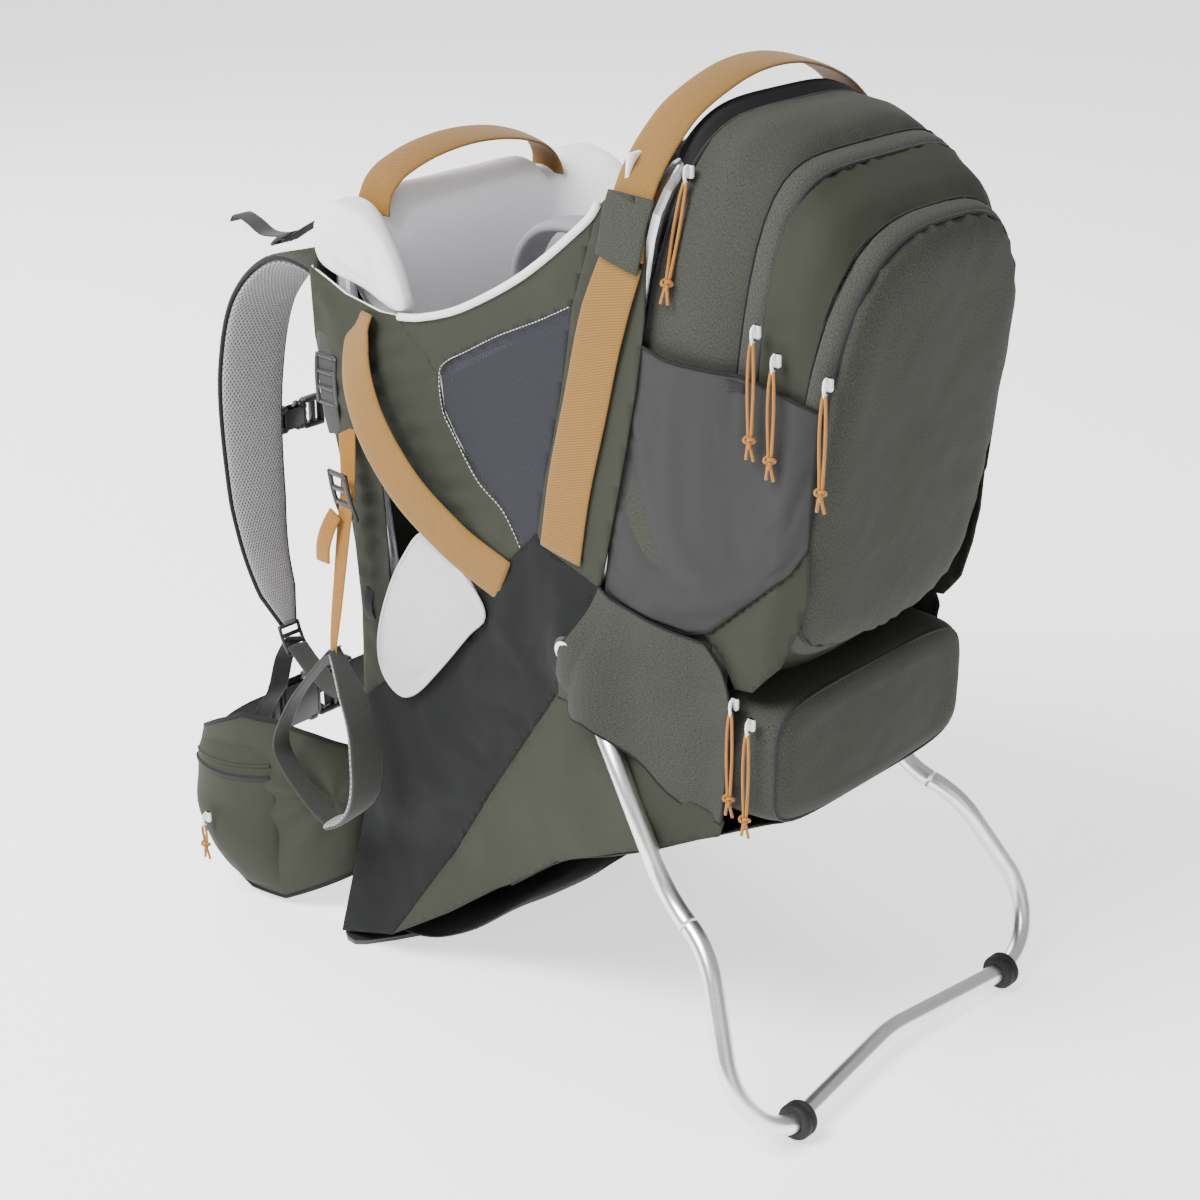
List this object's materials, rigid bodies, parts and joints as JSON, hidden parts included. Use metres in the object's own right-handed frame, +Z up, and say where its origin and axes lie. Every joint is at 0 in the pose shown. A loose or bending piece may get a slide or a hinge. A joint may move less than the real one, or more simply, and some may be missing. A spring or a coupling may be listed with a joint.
{
  "type": "baby carrier backpack",
  "caption": "Framed child carrier backpack: aluminium frame with folding kickstand, child seat under a padded rim, zipped luggage, padded shoulder harness and hip belt.",
  "frame": {"origin": "centre of the front foot's flat sole, on the floor", "axes": "+Z up; +Y towards the wearer, so -Y is the luggage side; +X to the side that is on the wearer's right"},
  "size_m": [0.4414, 0.7266, 0.789],
  "materials": {
    "tube": "satin drawn tube",
    "rivet": "satin",
    "rubber_black": "matt moulded",
    "plastic_black": "fine moulded texture",
    "sole_black": "moulded",
    "olive_ripstop": "coated ripstop, slight sheen",
    "dark_panel": "plain woven",
    "heather": "heathered two-tone weave",
    "black_fabric": "plain woven",
    "fleece": "brushed fleece",
    "spacer_mesh": "spacer mesh",
    "window_mesh": "open mesh",
    "trim_white": "piping",
    "tan_webbing": "twill webbing",
    "ochre_webbing": "plain webbing",
    "grey_webbing": "plain webbing",
    "black_webbing": "plain webbing",
    "cord": "braided cord",
    "harness_grey": "padded webbing",
    "button_red": "moulded",
    "slider_metal": "enamelled"
  },
  "bodies": {
    "root": {"frame_hoop": "tube", "rear_hoop": "tube", "side_struts": "tube", "cross_bars": "tube", "hinge_hubs": "plastic_black", "hinge_rivets": "rivet", "foot_sole": "sole_black", "bottom_pan": "black_fabric", "side_wall_left": "olive_ripstop", "side_wall_right": "olive_ripstop", "mesh_windows": "window_mesh", "leg_skirts": "dark_panel", "back_panel": "olive_ripstop", "drool_pad": "fleece", "back_pads": "spacer_mesh", "lumbar_pad": "spacer_mesh", "cockpit_rear_wall": "fleece", "cockpit_rim_trim": "trim_white", "hip_wing_left": "olive_ripstop", "hip_wing_right": "olive_ripstop", "hip_webbing": "black_webbing", "hip_buckle_female": "plastic_black", "pack_main": "heather", "mid_pocket": "olive_ripstop", "front_pocket": "heather", "lower_pocket": "heather", "side_pockets": "dark_panel", "zip_sliders": "slider_metal", "front_handle": "tan_webbing", "rear_handle": "tan_webbing", "side_straps": "tan_webbing"},
    "kickstand": {"kickstand_tube": "tube", "kickstand_rings": "rubber_black", "kickstand_end_plugs": "plastic_black"},
    "shoulder_harness": {"harness_yoke": "heather", "shoulder_strap_left": "heather", "shoulder_strap_right": "heather", "load_lifters": "grey_webbing", "strap_tails": "grey_webbing", "strap_adjusters": "plastic_black", "sternum_webbing": "grey_webbing", "sternum_buckle_female": "plastic_black"},
    "sternum_clip": {"sternum_buckle_male": "plastic_black"},
    "hip_clip": {"hip_buckle_male": "plastic_black"},
    "seat": {"seat_shell": "fleece", "seat_thigh_wings": "fleece", "child_harness": "harness_grey", "harness_buckle": "plastic_black"},
    "harness_button": {"harness_release_button": "button_red"},
    "stirrup_left": {"stirrup_left": "ochre_webbing"},
    "stirrup_right": {"stirrup_right": "ochre_webbing"},
    "pull_main": {"pull_main": "cord"},
    "pull_mid_upper": {"pull_mid_upper": "cord"},
    "pull_mid_lower": {"pull_mid_lower": "cord"},
    "pull_front": {"pull_front": "cord"},
    "pull_lower_upper": {"pull_lower_upper": "cord"},
    "pull_lower_lower": {"pull_lower_lower": "cord"},
    "pull_hip_left": {"pull_hip_left": "cord"},
    "pull_hip_right": {"pull_hip_right": "cord"}
  },
  "joints": [
    {"name": "kickstand_hinge", "type": "hinge", "parent": "root", "child": "kickstand", "pos_m": [0, -0.223, 0.356], "axis": [1, 0, 0], "range_deg": [0, 55]},
    {"name": "torso_length", "type": "slide", "parent": "root", "child": "shoulder_harness", "axis": [0, 0.22, 0.9755], "range_m": [0, 0.08]},
    {"name": "sternum_clip_slide", "type": "slide", "parent": "shoulder_harness", "child": "sternum_clip", "axis": [1, 0, 0], "range_m": [0, 0.035]},
    {"name": "hip_clip_slide", "type": "slide", "parent": "root", "child": "hip_clip", "axis": [1, 0, 0], "range_m": [0, 0.05]},
    {"name": "seat_height", "type": "slide", "parent": "root", "child": "seat", "axis": [0, 0, 1], "range_m": [-0.025, 0.025]},
    {"name": "harness_button_press", "type": "slide", "parent": "seat", "child": "harness_button", "axis": [0, -1, 0], "range_m": [0, 0.003], "stiffness_N_per_m": 600},
    {"name": "stirrup_left_swing", "type": "hinge", "parent": "root", "child": "stirrup_left", "pos_m": [-0.158, 0.014, 0.446], "axis": [1, 0, 0], "range_deg": [-25, 2]},
    {"name": "stirrup_right_swing", "type": "hinge", "parent": "root", "child": "stirrup_right", "pos_m": [0.158, 0.014, 0.446], "axis": [1, 0, 0], "range_deg": [-25, 2]},
    {"name": "pull_main_swing", "type": "hinge", "parent": "root", "child": "pull_main", "pos_m": [-0.121, -0.297, 0.721], "axis": [0, 1, 0], "range_deg": [0, 70]},
    {"name": "pull_mid_upper_swing", "type": "hinge", "parent": "root", "child": "pull_mid_upper", "pos_m": [-0.138, -0.373, 0.624], "axis": [0, 1, 0], "range_deg": [0, 70]},
    {"name": "pull_mid_lower_swing", "type": "hinge", "parent": "root", "child": "pull_mid_lower", "pos_m": [-0.135, -0.389, 0.606], "axis": [0, 1, 0], "range_deg": [0, 70]},
    {"name": "pull_front_swing", "type": "hinge", "parent": "root", "child": "pull_front", "pos_m": [-0.124, -0.426, 0.594], "axis": [0, 1, 0], "range_deg": [0, 70]},
    {"name": "pull_lower_upper_swing", "type": "hinge", "parent": "root", "child": "pull_lower_upper", "pos_m": [-0.135, -0.36, 0.334], "axis": [0, 1, 0], "range_deg": [0, 70]},
    {"name": "pull_lower_lower_swing", "type": "hinge", "parent": "root", "child": "pull_lower_lower", "pos_m": [-0.135, -0.376, 0.322], "axis": [0, 1, 0], "range_deg": [0, 70]},
    {"name": "pull_hip_left_swing", "type": "hinge", "parent": "root", "child": "pull_hip_left", "pos_m": [-0.2172, 0.178, 0.076], "axis": [0, 1, 0], "range_deg": [0, 70]},
    {"name": "pull_hip_right_swing", "type": "hinge", "parent": "root", "child": "pull_hip_right", "pos_m": [0.2172, 0.178, 0.076], "axis": [0, -1, 0], "range_deg": [0, 70]}
  ]
}
